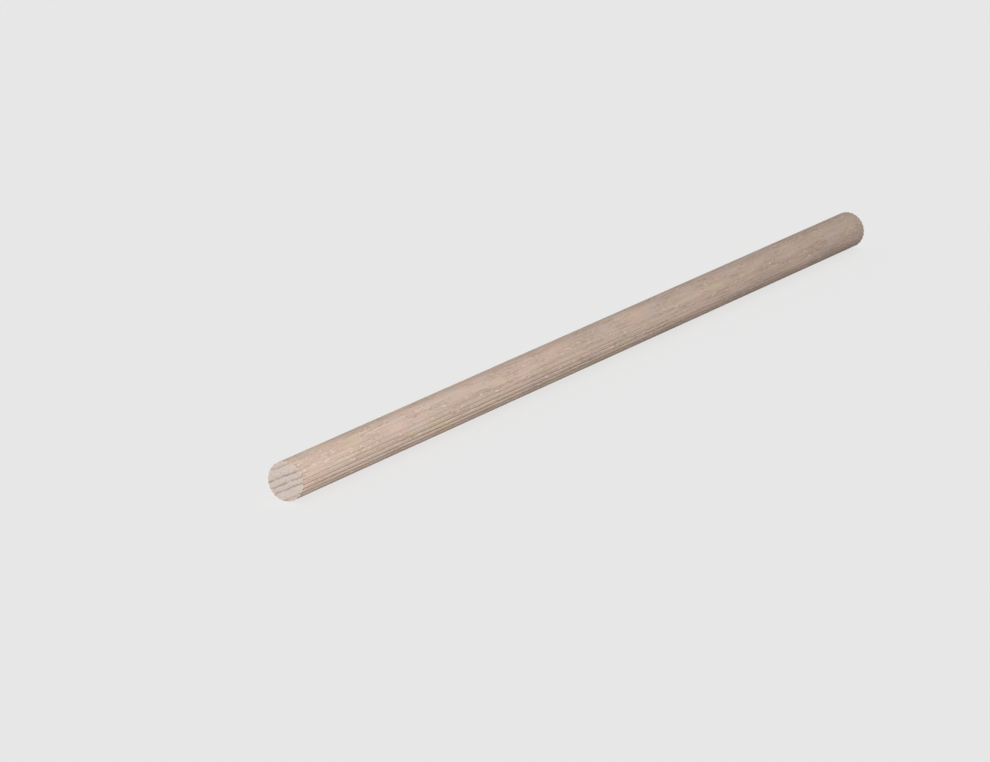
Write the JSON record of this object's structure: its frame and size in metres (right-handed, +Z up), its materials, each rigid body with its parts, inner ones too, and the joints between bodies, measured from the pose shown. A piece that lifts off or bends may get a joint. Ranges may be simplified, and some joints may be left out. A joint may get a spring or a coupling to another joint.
{
  "type": "fluted dowel rod",
  "caption": "Round beech rod with straight flutes along its whole length, cut square at both ends.",
  "frame": {"origin": "on the ground under the middle of the rod, which lies on the two ridges beside its lowest flute", "axes": "+X along the rod, +Z up, with one flute straight down and one ridge straight up"},
  "size_m": [0.3, 0.01, 0.01],
  "materials": {
    "beech": "bare, planed and fluted, with sawn ends"
  },
  "bodies": {
    "root": {"dowel_rod": "beech"}
  },
  "joints": []
}
